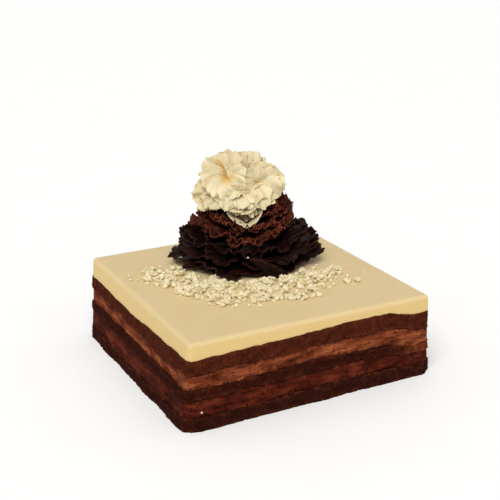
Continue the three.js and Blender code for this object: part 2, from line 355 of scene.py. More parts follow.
def seam_wave(level, turn):
    """How far a seam between two layers rises or falls where it meets the side, in mm."""
    if level == 0 or level > len(LAYERS):
        return 0
    lap = (turn / (2 * math.pi)) % 1
    for (start, before), (end, after) in zip(SEAM_RISES, SEAM_RISES[1:]):
        if start <= lap <= end:
            eased = 0.5 - 0.5 * math.cos(math.pi * (lap - start) / (end - start))
            rise = lerp(before[level - 1], after[level - 1], eased)
    return rise + RIPPLE_HEIGHT * math.sin(RIPPLES_ROUND * turn + RIPPLE_SHIFT * level * level)


print("highest rise of a seam in mm:", max(max(rises) for _, rises in SEAM_RISES))

# %% [markdown]
# ## Layers
# A cut sponge is torn open: crumbs stand out, pores and small caves go in. Mousse cuts smooth, with
# a few bubbles and the drag of the knife. A boolean cut would give a clean wall, so each layer
# starts as a cylinder instead, its wall is divided finely, and every ring of it is laid along the
# outline with its own relief. The seams wave as the layers in the picture do.

# %% Relief
# How the sponge is torn, the mousse cut and the white mousse poured. All is in mm but for the
# starts and the flats: a hole opens where the noise rises above its start, and blobs are flat times
# as wide as high.
TORN = {
    "crag": 0.32, "crumb": 0.5, "crumb_size": 4.5, "crumb_flat": 1.3, "grain": 0.25,
    "grain_size": 1.6, "cave": 2.6, "cave_size": 5.5, "cave_flat": 1.5, "cave_start": 0.35,
}
CUT = {
    "crag": 0.14, "sunk": 0.4, "drag": 0.3, "drag_size": 3, "drag_flat": 1.6, "drag_length": 3,
    "bubble": 1.5, "bubble_size": 3.2, "bubble_shift": 50, "bubble_start": 0.5,
}
POURED = {"crag": 0.05, "swell": 0.18, "swell_size": 14, "swell_flat": 0.6}
SEAM_TEAR = 0.7
TEAR_SIZE = 7
TEAR_SHIFT = 20  # how far apart in the noise two seams are read, so that no two are alike
ROUGHENING = 0.8  # how fast the finer octaves of a cloud fade
LACUNARITY = 2.1  # how much finer each octave is than the last


def cloud(x, y, z, size, octaves):
    """Noise from about -1 to 1, with blobs about size mm across."""
    return noise.fractal(Vector((x, y, z)) / size, ROUGHENING, LACUNARITY, octaves)


def relief(made, level, turn, share, place, height):
    """How far the side stands in or out, in mm."""
    # two trains of crags, 13 and 22 round the cake, which every layer has in other places
    crag = math.sin(13 * turn + 4 * level + 2 * share) + math.sin(22 * turn - 3 * level)
    x, y = place
    if made == "sponge":
        crumbs = TORN["crumb"] * cloud(x, y, height * TORN["crumb_flat"], TORN["crumb_size"], 4)
        crumbs += TORN["grain"] * cloud(x, y, height, TORN["grain_size"], 2)
        hollows = noise.noise(Vector((x, y, height * TORN["cave_flat"])) / TORN["cave_size"])
        cave = max(0, hollows - TORN["cave_start"])
        return TORN["crag"] * crag + crumbs - TORN["cave"] * cave
    if made == "mousse":
        # the knife draws the mousse along, so its drags are far longer than high
        x_drawn, y_drawn = x / CUT["drag_length"], y / CUT["drag_length"]
        drag = CUT["drag"] * cloud(x_drawn, y_drawn, height * CUT["drag_flat"], CUT["drag_size"], 3)
        hollows = noise.noise(Vector((x + CUT["bubble_shift"], y, height)) / CUT["bubble_size"])
        bubble = max(0, hollows - CUT["bubble_start"])
        return CUT["crag"] * crag - CUT["sunk"] + drag - CUT["bubble"] * bubble
    swell = POURED["swell"] * cloud(x, y, height * POURED["swell_flat"], POURED["swell_size"], 3)
    return POURED["crag"] * crag + swell


def seam_tear(level, place):
    """The seams are ragged too, where sponge crumbs into mousse."""
    if level == 0 or level > len(LAYERS):
        return 0
    x, y = place
    return SEAM_TEAR * cloud(x, y, TEAR_SHIFT * level, TEAR_SIZE, 4)


print("deepest cave in mm:", round(TORN["cave"] * (1 - TORN["cave_start"]), 1))

# %% Lay a slab
ROW_HEIGHT = 0.85
FEWEST_ROWS = 6
WHITE_TOP_ROUNDING = 2.6


def object_from(bm, name):
    """The mesh as an object of the scene, riding on the cake's only body."""
    mesh = bpy.data.meshes.new(name)
    bm.to_mesh(mesh)
    bm.free()
    made = bpy.data.objects.new(name, mesh)
    bpy.context.scene.collection.objects.link(made)
    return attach(made, "root")


def slab(name, level, bottom, top, made, rounding=0.0):
    """One layer. rounding draws in its upper edge, in mm."""
    rows = max(FEWEST_ROWS, round((top - bottom) / ROW_HEIGHT))
    bm = bmesh.new()
    bmesh.ops.create_cone(bm, cap_ends=True, segments=COLUMNS, radius1=1, radius2=1, depth=1)
    up_the_layer = bm.verts.layers.float.new("up_the_layer")
    upright = [e for e in bm.edges if abs(e.verts[0].co.z - e.verts[1].co.z) > 0.5]
    bmesh.ops.subdivide_edges(bm, edges=upright, cuts=rows - 1, use_grid_fill=True)
    for vertex in bm.verts:
        share = vertex.co.z + 0.5
        vertex[up_the_layer] = share
        turn = math.atan2(vertex.co.x, -vertex.co.y)
        flat = outline_point(turn, lerp(bottom, top, share), 0)
        low = bottom + seam_wave(level, turn) + seam_tear(level, flat)
        high = top + seam_wave(level + 1, turn) + seam_tear(level + 1, flat)
        height = lerp(low, high, share)
        edge = max(0, height - (top - rounding)) / rounding if rounding else 0
        drawn_in = rounding * (1 - math.sqrt(max(0, 1 - edge * edge)))
        out = relief(made, level, turn, share, flat, height) - drawn_in
        place = outline_point(turn, height, out)
        vertex.co = Vector((place.x, place.y, height)) * MM
    for face in bm.faces:
        face.smooth = len(face.verts) < COLUMNS  # all but the two caps
    return object_from(bm, name)


layers = {}
foot = 0
for level, layer in enumerate(LAYERS):
    top = foot + layer["thickness"]
    piece = slab(f"{layer['name']}_cut", level, foot, top, layer["made"])
    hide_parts(layer["name"])
    layers[layer["name"]] = piece
    foot = top
print("layers:", {name: len(o.data.polygons) for name, o in layers.items()})

# %% White mousse
white_top = slab(
    "white_top_poured", len(LAYERS), LAYERS_HEIGHT, CAKE_HEIGHT, "white", WHITE_TOP_ROUNDING
)
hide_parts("white_top")
print("white mousse faces:", len(white_top.data.polygons))

# %% [markdown]
# ## Finishes of the layers
# Baked cocoa sponge is dull and uneven. Its pores are painted nearly black, as painted shade in
# the holes, and its raised crumbs redder, as a painted highlight where they catch the light.
# Chocolate mousse is a warmer brown, a little less dull, with a painted highlight on its raised
# drags and painted shade in the sunken ones. At the seams the two are rubbed into each other. The
# lower layers are painted darker than the upper ones, as painted shade towards the foot of the
# cake. The white mousse is a warm ivory, and light enters it a little, which is what keeps its edge
# from looking like plaster.


# %% Sponge
def sponge_look(deep, crumb, lit, smeared=0.0):
    """The look of one sponge, from its painted shade in pores, its crumb and its painted highlight.

    smeared says how much mousse the knife has dragged over it at the right corner."""

    def look(start):
        rubbed_in = opaque(104, 48, 27)
        dragged_over = opaque(134, 66, 38)
        clumps = start.noise(5, detail=5, roughness=0.65)
        grain = start.noise(1.1, detail=4, roughness=0.7)
        # the pores lie low in the bump and are mixed towards the dark colour: painted shade in the holes
        pores = start.cells(1.8).step(0.05, 0.5) * 0.6 + 0.4
        # random mottling that rises with the bumps: painted highlight on raised crumbs, painted shade in
        # hollows
        tone_and_painted_light = (clumps * 0.6 + grain * 0.6 - 0.1).clamped()
        colour = pores.mix((*deep, 1), tone_and_painted_light.ramp((0.25, deep), (0.5, crumb), (0.72, lit)))
        dragged = start.noise(6, detail=5, at=start.stretched(1.3, 1.3, 0.4)).step(0.4, 0.6)
        right_end = start.along("X").step(60 * MM, 85 * MM)
        corner = right_end * (1 - start.along("Y").step(-86 * MM, -60 * MM))
        near_mousse = start.seams() * start.noise(6, detail=4, roughness=0.6).step(0.46, 0.62) * 0.4
        smear = (dragged * 0.6 + 0.4) * corner * smeared
        blended = near_mousse.mix(colour, rubbed_in)
        return {
            "Base Color": smear.mix(blended, dragged_over),
            "Roughness": 0.9,
            "Specular IOR Level": 0.03,
            "Height": grain * 0.5 + pores * 0.35 + clumps * 0.5,
        }

    return look


# the middle and bottom sponges are darker copies of the top one: painted shade towards the cake's foot
SPONGES = {
    "top_sponge": sponge_look(srgb(30, 9, 4), srgb(70, 29, 15), srgb(98, 46, 27)),
    "middle_sponge": sponge_look(srgb(18, 5, 2), srgb(48, 17, 8), srgb(74, 31, 18), smeared=0.9),
    "bottom_sponge": sponge_look(srgb(16, 5, 3), srgb(46, 17, 10), srgb(74, 34, 24)),
}
for name, look in SPONGES.items():
    layers[name].data.materials.append(material(f"cocoa_{name}", look))
print("sponges painted:", len(SPONGES))


# %% Mousse
def mousse_look(deep, body, lit):
    """The look of one mousse: painted shade and sponge crumbs, its body, and painted highlight."""

    def look(start):
        streaks = start.noise(6, detail=5, roughness=0.6, at=start.stretched(0.35, 0.35, 1.5))
        patches = start.noise(16, detail=2)
        bubbles = start.cells(1.6).step(0.1, 0.4)
        crumbs = start.noise(2.2, detail=3, roughness=0.7).step(0.58, 0.66)
        # raised streaks lighter and sunken ones darker: painted highlight and painted shade, over random
        # patches
        tone_and_painted_light = streaks * 0.75 + patches * 0.25
        colour = tone_and_painted_light.ramp((0.36, deep), (0.5, body), (0.64, lit))
        near_sponge = start.seams() * start.noise(5, detail=5, roughness=0.65).step(0.4, 0.56)
        return {
            "Base Color": (crumbs + near_sponge * 0.85).mix(colour, (*deep, 1)),
            "Roughness": 0.75,
            "Specular IOR Level": 0.03,
            "Height": streaks * 0.6 + bubbles * 0.2 + crumbs * 0.4,
        }

    return look


# the lower mousse is a darker copy of the upper one: painted shade towards the foot of the cake
MOUSSES = {
    "upper_mousse": mousse_look(srgb(66, 24, 12), srgb(116, 56, 32), srgb(156, 88, 54)),
    "lower_mousse": mousse_look(srgb(44, 13, 6), srgb(77, 27, 15), srgb(106, 46, 26)),
}
for name, look in MOUSSES.items():
    layers[name].data.materials.append(material(f"chocolate_{name}", look))
print("mousses painted:", len(MOUSSES))


# %% White mousse finish
def white_mousse_look(start):
    clouds = start.noise(30, detail=3)
    fine = start.noise(1.5, detail=3)
    side = 1 - start.along("Z").step((CAKE_HEIGHT - 4) * MM, (CAKE_HEIGHT - 0.5) * MM)
    ivory = clouds.mix(opaque(209, 185, 138), opaque(216, 194, 148))
    cut_side = opaque(212, 184, 122)
    return {
        "Base Color": side.mix(ivory, cut_side),
        "Roughness": 0.5,
        "Specular IOR Level": 0.25,
        "Subsurface Weight": 0.15,
        "Subsurface Radius": (1.0, 0.6, 0.3),
        "Subsurface Scale": 2 * MM,
        "Height": fine * 0.05 + clouds * 0.4,
    }


white_top.data.materials.append(material("white_mousse_finish", white_mousse_look))
print("white mousse painted")

# %% [markdown]
# ## Crumbs
# The white chocolate was grated or crumbled over the front of the flower, so the pieces pile up
# where most of them fell and thin out towards the ends. Each crumb is an icosphere with its corners
# pushed in and out. A particle system would hide where they lie, so a loop drops them one by one,
# and later crumbs come to rest on earlier ones.

# %% Where a crumb falls
FLOWER = Vector((12.5, 33, CAKE_HEIGHT))  # the foot of the flower, in mm
FACING = math.radians(241.8)  # the side that the cake is looked at from
INNER, OUTER = 51, 97  # how far the crescent reaches from the flower's middle, in mm
HALF_ANGLE = 1.27
RIDGE = 0.42  # where most crumbs lie, as a share of the way from INNER to OUTER
RIDGE_WIDTH = 0.38
END = 0.8  # the share of the half angle at which the crescent thins out
NARROWER_ENDS = 0.15
THINNEST = 0.04
GAP_DEPTH = 0.45  # how much thinner they lie in front of the flower's middle
GAP_AT, GAP_WIDTH = 0.02, 0.1
rng = random.Random(11)


def crumb_density(across, out):
    """How likely a crumb is to stay, for places across the crescent and out from the flower."""
    body = math.exp(-((across / END) ** 4)) * math.exp(-(((out - RIDGE) / RIDGE_WIDTH) ** 2))
    # noise heaps them into piles, some seven across the crescent
    piles = 0.3 + 1.7 * noise.noise(Vector((across * 7, out * 3.6, 4.2)))
    gap = 1 - GAP_DEPTH * math.exp(-(((across - GAP_AT) / GAP_WIDTH) ** 2))
    return body * gap * max(THINNEST, piles)


def drop(rng):
    """Where the next crumb stays, in mm."""
    while True:
        across, out = rng.uniform(-1, 1), rng.uniform(0, 1)
        if rng.random() < crumb_density(across, out):
            break
    angle = FACING + across * HALF_ANGLE
    radius = lerp(INNER, OUTER, RIDGE + (out - RIDGE) * (1 - NARROWER_ENDS * across * across))
    return FLOWER.x + radius * math.cos(angle), FLOWER.y + radius * math.sin(angle)


print("crescent from", INNER, "to", OUTER, "mm from the flower's middle")

# %% Drop the crumbs
CRUMB_COUNT = 2300
HANDFUL = 50  # every operator is slow on a mesh that has grown big, so few are made at a time
SMALLEST, LARGEST = 0.6, 2.4
KNOBBLY = 0.28
FLATTENED = 0.8
HIGHEST_PILE = 3.5
CELL = 2.4  # the width of the squares of cream in which crumbs pile up
SETTLED = 0.6  # how much of its size a crumb adds to its pile
lying = {}  # how high they lie in each square, in mm


def handful(count):
    """Some crumbs as one loose mesh, each lying on the cream or on earlier ones."""
    bm = bmesh.new()
    for _ in range(count):
        x, y = drop(rng)
        size = lerp(SMALLEST, LARGEST, rng.random() ** 2)
        cell = (round(x / CELL), round(y / CELL))
        beneath = lying.get(cell, 0)
        lying[cell] = min(HIGHEST_PILE, beneath + size * SETTLED)
        made = bmesh.ops.create_icosphere(bm, subdivisions=1, radius=size * MM)["verts"]
        for vertex in made:
            vertex.co *= 1 + KNOBBLY * rng.uniform(-1, 1)
        turn = Matrix.Rotation(rng.uniform(0, 6.3), 3, "Z")
        tip = Matrix.Rotation(rng.uniform(0, 3), 3, "X")
        place = Vector((x, y, CAKE_HEIGHT + beneath + size * 0.5)) * MM
        bmesh.ops.rotate(bm, verts=made, matrix=turn @ tip)
        bmesh.ops.scale(bm, verts=made, vec=(1, 1, FLATTENED))
        bmesh.ops.translate(bm, verts=made, vec=place)
    mesh = bpy.data.meshes.new("handful")
    bm.to_mesh(mesh)
    bm.free()
    return mesh


bm = bmesh.new()
for _ in range(CRUMB_COUNT // HANDFUL):
    mesh = handful(HANDFUL)
    bm.from_mesh(mesh)
    bpy.data.meshes.remove(mesh)
crumbs = object_from(bm, "white_crumbs")
print("crumbs:", CRUMB_COUNT, "triangles:", len(crumbs.data.polygons))


# %% Crumb finish
def crumb_look(start):
    tint = start.node("ShaderNodeSeparateColor", {}, {0: start.cells(2.5, output="Color")})
    warm = tint.mix(opaque(231, 220, 188), opaque(214, 197, 149))
    return {
        "Base Color": warm,
        "Roughness": 0.5,
        "Subsurface Weight": 0.3,
        "Subsurface Radius": (1.0, 1.0, 0.75),
        "Subsurface Scale": MM,
    }


crumbs.data.materials.append(material("crumb_finish", crumb_look))
print("crumbs painted")

# %% [markdown]
# ## Ruffles
# A confectioner scrapes a thin film of chocolate off a cold slab with a broad blade: one side of
# the strip gathers under a finger, and the other opens like a fan with a frilled edge. Each ruffle
# is a fine grid here, laid along a curve from its gathered end to its tip. The waves grow towards
# the free edge, because that is where the film has spare length. The rings keep near the solids' own
# dimensions, with finer pleats that wander and a torn edge on top. Only the front of the white rings
# lies further in, to make room for the single petals before it, and the flanks of the highest dark
# ring lie lower.

# %% Rings
# turn: where the first ruffle lies, in degrees; root: how high a ruffle starts, in mm
# front, flank, back: how far out and how high its edge lies on that side, and how much it bows
# narrow: how soon the front and the back give way to the flanks; lean: mm that it leans right
# frills: how many waves go round the ring; frill: how high they are; fold: how far they fold over
# pleat: how strong the finer pleats are
RING_HEADS = ("name", "count", "turn", "root", "front", "flank", "back", "narrow", "lean", "frills",
              "frill", "fold", "pleat")
RINGS = [dict(zip(RING_HEADS, row)) for row in (
    ("dark_ruffle_low", 5, 20, 1.7, (47, 3.2, 1.5), (51, 5.5, 1.5), (48, 5, 1.5), 2, -3.5, 12, 1.7, 1, 0.4),
    ("dark_ruffle_mid", 5, 54, 5.3, (46, 10.5, 2), (52, 15, 2), (47, 14, 2), 2, 1.5, 13, 2.2, 1.1, 0.5),
    ("dark_ruffle_high", 4, 5, 9, (43, 18, 2), (46, 22, 2), (43, 23, 2), 2, 0, 12, 2.6, 1.2, 1),
    ("brown_ruffle_low", 5, 40, 19.5, (42, 25, 2), (34.5, 36, 2), (36, 37, 2), 2, -1, 15, 2, 0.7, 1),
    ("brown_ruffle_mid", 4, 82, 23.5, (32, 32, 1.5), (31, 42, 0.5), (31, 43, 0.5), 2, 0, 13, 1.9, 0.7, 1),
    ("brown_ruffle_high", 3, 20, 27.5, (24, 38, 1), (25, 46.5, 0.4), (24, 48.5, 0.4), 2, 0, 11, 1.8, 0.6, 1),
    ("white_ruffle_low", 4, 62, 42, (27, 42, 3), (32, 56, 0.5), (28, 60, 0.5), 6, -4, 10, 2, 1, 0.35),
    ("white_ruffle_mid", 3, 25, 46, (22, 59, -2), (30, 64, -1), (26, 69, -1), 2, -4, 9, 1.9, 1, 0.35),
    ("white_ruffle_high", 3, 59, 50, (15, 70, -3), (19, 76, -3), (18, 77, -3), 2, -4.5, 8, 1.5, 0.7, 0.3),
)]
print("rings:", [ring["name"] for ring in RINGS])

# %% The surface of a ruffle
ROOT_RADIUS = 7.2
RUFFLE_WIDTH = 0.96  # of the way to the next ruffle
ROOT_TILT = 0.95  # mm that one side is raised and the other lowered, so that ruffles overlap
TIP_TILT = 1.3
GOLDEN = 0.6180339887
TORN_EDGE = 0.03  # how far the edge is torn in and out, as a share of the ruffle's length
ROUGH = (0.7, 2.2, 4)  # how a torn edge's octaves fade and grow finer, and how many there are


def scatter(k):
    """The same spread of numbers from -1 to 1 every time, evenly scattered."""
    return 2 * ((k * GOLDEN + 0.37) % 1) - 1


def round_flower(radius, angle, height, lean):
    """A point at a radius, an angle and a height from the flower's foot, moved to the right."""
    return Vector((
        FLOWER.x + radius * math.cos(angle) - lean * math.sin(FACING),
        FLOWER.y + radius * math.sin(angle) + lean * math.cos(FACING),
        FLOWER.z + height,
    ))


def meridian(ring, angle, length, out):
    """Where a ring's ruffles are at an angle round the flower: radius, height and slope.

    A ruffle follows a curve from its root to its tip, over a control point that bows it."""
    towards = math.cos(angle - FACING)
    other = ring["front"] if towards > 0 else ring["back"]
    blend = abs(towards) ** ring["narrow"]
    radius, height, bow = (lerp(a, b, blend) for a, b in zip(ring["flank"], other))
    root = Vector((ROOT_RADIUS, ring["root"]))
    tip = root + (Vector((radius, height)) - root) * length
    across = (tip - root).normalized()
    control = (root + tip) / 2 + Vector((-across.y, across.x)) * 2 * bow
    point = root * (1 - out) ** 2 + control * 2 * out * (1 - out) + tip * out ** 2
    tangent = (control - root) * (1 - out) + (tip - control) * out
    return point.x, point.y, math.atan2(tangent.y, tangent.x)


def ruffle_point(ring, k, side, out):
    """The ruffle's middle surface. side is -1 to 1 across it, out is 0 at its root and 1 at its tip."""
    angle = math.radians(ring["turn"]) + (k + 0.5 * RUFFLE_WIDTH * side) * 2 * math.pi / ring["count"]
    # each ruffle has its own length, is a little shorter at its sides, and has a torn edge
    torn = TORN_EDGE * noise.fractal(Vector((angle * 9, ring["root"], 0)), *ROUGH)
    length = 1 + 0.04 * scatter(k + ring["root"]) - 0.06 * side * side + torn * out ** 3
    radius, height, slope = meridian(ring, angle, length, out)
    # the frill waves along the edge, and the waves swerve and the pleats wander as they go
    grown = max(0, out) ** 1.5
    wander = 1.6 * noise.noise(Vector((angle * 3, ring["root"], 7)))
    swerve = 1.5 * out * noise.noise(Vector((angle * 5, out * 2.2, ring["root"])))
    wave = ring["frills"] * angle + ring["root"] + swerve
    pleat = math.sin(2.7 * wave + 2 * wander + 3 * k)
    raised = ring["frill"] * grown * math.sin(wave) + lerp(ROOT_TILT, TIP_TILT, out) * side
    raised += ring["pleat"] * max(0, out) ** 2.5 * pleat * (0.6 + 0.5 * wander)
    about = angle - ring["fold"] * grown * math.sin(2 * wave) / radius
    across = radius - raised * math.sin(slope)
    return round_flower(across, about, height + raised * math.cos(slope), ring["lean"] * out)


low_ring = RINGS[0]
reach = (ruffle_point(low_ring, 0, 0, 1) - ruffle_point(low_ring, 0, 0, 0)).length
print("a low dark ruffle reaches out by mm:", round(reach, 1))

# %% Make the ruffles
FILM = 0.7  # mm, the thickness of the chocolate
RING_COLUMNS = 440  # round a whole ring
RING_ROWS = 14


def sheet_of(bm, columns, rows, point_at):
    """A fine grid laid on a surface. Its UV map runs across and from root to tip."""
    made = bmesh.ops.create_grid(bm, x_segments=columns, y_segments=rows, size=1, calc_uvs=True)
    for vertex in made["verts"]:
        vertex.co = point_at(vertex.co.x, (vertex.co.y + 1) / 2) * MM
    return made["verts"]


def leaf(lay, name, thickness, slot_name, *nodes):
    """An object from the sheets that lay makes, given the film's thickness in mm."""
    bm = bmesh.new()
    bm.loops.layers.uv.new("UVMap")
    lay(bm)
    piece = object_from(bm, name)
    wall = piece.modifiers.new("film", "SOLIDIFY")
    wall.thickness = thickness * MM
    wall.offset = 0
    if nodes:
        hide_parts(*nodes)
    return piece


SLOTS = {"dark": "dark_chocolate", "brown": "milk_chocolate", "white": "white_chocolate"}
flower = {"dark": [], "brown": [], "white": []}
for ring in RINGS:
    colour = ring["name"].split("_")[0]

    def lay(bm, ring=ring):
        columns = RING_COLUMNS // ring["count"]
        for k in range(ring["count"]):
            sheet_of(bm, columns, RING_ROWS, lambda side, out: ruffle_point(ring, k, side, out))

    nodes = [f"{ring['name']}_{k + 1}" for k in range(ring["count"])]
    piece = leaf(lay, f"{ring['name']}_film", FILM, SLOTS[colour], *nodes)
    flower[colour].append(piece)
print("ruffle faces:", sum(len(o.data.polygons) for pieces in flower.values() for o in pieces))

# %% [markdown]
# ## Rolled middle
# The innermost film is rolled up into a loose scroll that opens towards its top. It is one sheet,
# laid along a spiral: the grids of a ring go round the flower once between them, and this one goes
# round more than one and a half times and comes further out as it goes.

# %% Rolled middle
BUD = {
    "foot": 52.85, "height": 25, "outer_drop": 0.22, "lean": -2, "start": 0.9, "turns": 1.6,
    "inner": 2.2, "foot_radius": 5.5, "top_radius": 10,
}
BUD_COLUMNS, BUD_ROWS = 150, 16


def bud_point(side, out):
    """The scroll's surface. side runs from its inner end, -1, to its outer end, 1."""
    unrolled = (side + 1) / 2
    angle = FACING + BUD["start"] + unrolled * BUD["turns"] * 2 * math.pi
    opened = max(0, out) ** 1.4
    inner = BUD["inner"] * (0.6 + 0.4 * opened)
    outer = lerp(BUD["foot_radius"], BUD["top_radius"], opened)
    frill = out ** 3 * (1.1 * math.sin(5 * angle) + 0.7 * math.sin(11 * angle))
    frill += 0.5 * out ** 3 * math.sin(23 * angle)
    up = BUD["foot"] + BUD["height"] * out * (1 - BUD["outer_drop"] * unrolled) + frill
    radius = lerp(inner, outer, unrolled) + 0.35 * frill
    return round_flower(radius, angle, up, BUD["lean"] * opened)


flower["white"].append(leaf(
    lambda bm: sheet_of(bm, BUD_COLUMNS, BUD_ROWS, bud_point),
    "white_bud_film", FILM, SLOTS["white"], "white_bud",
))
print("bud faces:", len(flower["white"][-1].data.polygons))

# %% [markdown]
# ## Single petals
# No two ruffles of a real flower are alike: some stand up, one hangs over the front like a lip, and
# a few flat ones poke out at the foot. A ring can't say that, so these are placed one by one. Each
# follows a curve of three points, given as the viewer sees them: mm to the right of the flower's
# middle, mm towards the viewer, and mm above the cream.

# %% A petal
PLAIN = {
    # what a petal has unless it says otherwise
    "round": 0.25,  # how much shorter it is at its sides
    "frill": 1.6,  # mm, how high its waves are
    "frills": 3,  # how many waves it has across
    "edge": 1.6,  # how near to the edge the waves keep
    "torn": 0.06,  # how far its edge is torn
    # the deep yellow is painted shade in the pits near a petal's root
    "depth": (0, 1),  # where its root and its tip lie on the way from deep yellow to ivory
}
FINE_FRILL = 0.35
BUCKLE = 2.2  # mm, how far a petal is bent out of its curve


def seen(right, towards, height):
    """A point as the viewer sees it, made a point of the cake."""
    ahead = Vector((math.cos(FACING), math.sin(FACING), 0))
    rightwards = Vector((-math.sin(FACING), math.cos(FACING), 0))
    return FLOWER + rightwards * right + ahead * towards + Vector((0, 0, height))


def petal_point(petal, side, out):
    """side is -1 to 1 across the petal and out 0 at its root to 1 at its tip."""
    root, control, tip = (seen(*place) for place in petal["path"])
    facing = (seen(*petal["face"]) - FLOWER).normalized()
    seed = petal["path"][2][0] * 0.7
    rough = noise.fractal(Vector((side * 2.6, seed, 1)), *ROUGH)
    reach = out * (1 - petal["round"] * side * side + petal["torn"] * rough * out)
    point = root * (1 - reach) ** 2 + control * 2 * reach * (1 - reach) + tip * reach ** 2
    tangent = ((control - root) * (1 - reach) + (tip - control) * reach).normalized()
    across = tangent.cross(facing).normalized()
    normal = across.cross(tangent)
    # three tenths of its width at the gathered root, and all of it a little before the tip
    width = petal["width"] / 2 * (0.3 + 0.7 * math.sin(min(1, reach * 1.15) * math.pi / 2))
    free = max(reach ** petal["edge"], abs(side) ** 3 * reach)
    wave = math.sin(petal["frills"] * side * math.pi + seed)
    fine = math.sin(petal["frills"] * 2.3 * side * math.pi + 2 * seed) * FINE_FRILL
    lift = petal["cup"] * side * side * width
    lift += petal["frill"] * free * (wave + fine)
    lift += BUCKLE * reach * noise.noise(Vector((side * 1.3, reach * 1.5, seed)))
    return point + across * side * width + normal * lift


def petals(name, slot_name, thickness, shapes, columns=40, rows=18):
    """One object of single petals, each a grid of its own."""

    def lay(bm):
        uv = bm.loops.layers.uv["UVMap"]
        for shape in shapes:
            petal = {**PLAIN, **shape}
            made = sheet_of(bm, columns, rows, lambda side, out: petal_point(petal, side, out))
            for loop in {loop for vertex in made for loop in vertex.link_loops}:
                loop[uv].uv.y = lerp(*petal["depth"], loop[uv].uv.y)

    return leaf(lay, name, thickness, slot_name)


print("the viewer's right on the cake:", [round(c, 2) for c in seen(1, 0, 0) - FLOWER])

# %% [markdown]
# ## White petals
# At the front the white films were set so that they open towards the viewer from a few deep points,
# like small trumpets. A whole ring can't do that, because all its ruffles open from the flower's own
# middle, so each trumpet gets its own pit and a rim of petals round it. The other white petals stand
# at the back or hang over the front, and one is a hollow lip.

# %% A trumpet
PETAL_SPREAD = 1.35  # how wide a petal is for its reach, so that neighbours overlap


def blossom(pit, rim, depth=(0.3, 1)):
    """Petals that open towards the viewer from one deep point, like a small trumpet.

    Each place of the rim is an angle in the picture, how far it lies from the pit and how far it
    comes forward."""
    made = []
    for turn, reach, forward in rim:
        right, up = math.cos(math.radians(turn)), math.sin(math.radians(turn))
        bend = (pit[0] + 0.3 * reach * right, pit[1] + 0.9 * forward, pit[2] + 0.3 * reach * up)
        tip = (pit[0] + reach * right, pit[1] + forward, pit[2] + reach * up)
        made.append({
            "path": [pit, bend, tip], "face": (-0.5 * right, 1, -0.5 * up),
            "width": PETAL_SPREAD * reach, "cup": 0.05, "frill": 1.5, "frills": 1.5, "edge": 3,
            "torn": 0.1, "round": 0.3, "depth": depth,
        })
    return made


print("width of a petal that reaches out 10 mm:", blossom((0, 0, 0), [(90, 10, 5)])[0]["width"])

# %% White petals
# depth sets how much painted shade, a deep yellow, a petal has towards its root
WHITE_PETALS = [
    # standing at the back
    {"path": [(-5, -4, 48), (-15, -8, 64), (-14, -4, 80)], "face": (0.2, 1, 0.1), "width": 24, "cup": 0.25},
    {"path": [(2, -3, 48), (5, -8, 62), (6, -6, 77)], "face": (0, 1, 0.1), "width": 20, "cup": 0.3},
    {"path": [(4, -2, 48), (16, -6, 56), (18, -2, 70)], "face": (-0.2, 1, 0.1), "width": 20, "cup": 0.3},
    # the flat one at the top right
    {"path": [(1, 2, 56), (4, 6, 69), (2.5, -3, 80)], "face": (0.1, 1, 0.2), "width": 16, "cup": -0.1,
     "round": 0.08, "frill": 0.8, "edge": 4},
    # hanging over the front
    {"path": [(-8, 10, 50), (-22, 21, 58), (-27, 21, 45)], "face": (-0.2, 0.7, 1), "width": 18, "cup": -0.1},
    {"path": [(-10, 12, 50), (-13, 26, 58), (-14, 26, 45)], "face": (-0.1, 1, 0.7), "width": 16,
     "cup": -0.1, "frill": 1.4, "edge": 2.5},
    {"path": [(4, 12, 48), (11, 24, 56), (12, 24, 45)], "face": (0.2, 1, 0.7), "width": 14, "cup": -0.1,
     "frill": 1.4, "edge": 2.5},
    # the lip, a hollow spoon that faces the viewer, and two small ones that hang into it
    {"path": [(-1, 8, 50), (-1, 10, 33), (-1, 32, 34)], "face": (0, 1, 0.6), "width": 26, "cup": 0.6,
     "round": 0.3, "frill": 0.8, "torn": 0.04, "edge": 4, "depth": (0, 0.9)},
    {"path": [(2, 14, 48), (4, 22, 46), (4, 24, 39)], "face": (0.3, 1, 0.3), "width": 9, "cup": -0.3,
     "depth": (0.2, 1)},
    {"path": [(-5, 14, 48), (-7, 22, 46), (-7, 23, 40)], "face": (-0.3, 1, 0.3), "width": 7, "cup": -0.3,
     "depth": (0.2, 1)},
]
# the trumpet at the upper left, with the deepest pit and a rolled petal that stands in it
WHITE_PETALS += blossom((-13.5, 10, 65), [
    (92, 17.6, -7), (140, 19, 0), (183, 18, 8), (222, 15, 13), (275, 13, 16), (325, 14, 14),
    (25, 15, 8),
], depth=(0.04, 1))
WHITE_PETALS.append({
    "path": [(-13.5, 9, 63), (-16, 12, 70), (-21, 10, 78)], "face": (0.3, 1, -0.2), "width": 6,
    "cup": 0.6, "frill": 0.3, "round": 0.6, "torn": 0, "depth": (0, 0.3),
})
# the trumpets on the right, low on the left, and low in the middle
WHITE_PETALS += blossom((7, 12, 61), [
    (55, 18, 4), (100, 13, 5), (12, 20, 3), (-25, 19, 6), (-62, 14, 9), (-110, 12, 12), (190, 10, 9),
])
WHITE_PETALS += blossom((-22, 12, 53), [
    (190, 16, 4), (155, 12, 4), (222, 11, 7), (265, 9, 10), (125, 8, 5),
])
WHITE_PETALS += blossom((-3, 16, 55), [
    (90, 9, 9), (150, 11, 9), (205, 12, 9), (265, 9, 11), (330, 12, 9),
])
flower["white"].append(petals("white_petals", SLOTS["white"], FILM, WHITE_PETALS))
print("white petals:", len(WHITE_PETALS))

# %% [markdown]
# ## Petals of milk and dark chocolate
# The milk chocolate films are short, crowded and torn, and their edges step down towards the front.
# A loop lays one for each place of its edge, and spreads their sizes a little so that they don't
# look stamped. The dark ones are few: two flat tongues that poke out on the left, one that stands
# upright at the foot, and broad fans round the front and both sides.

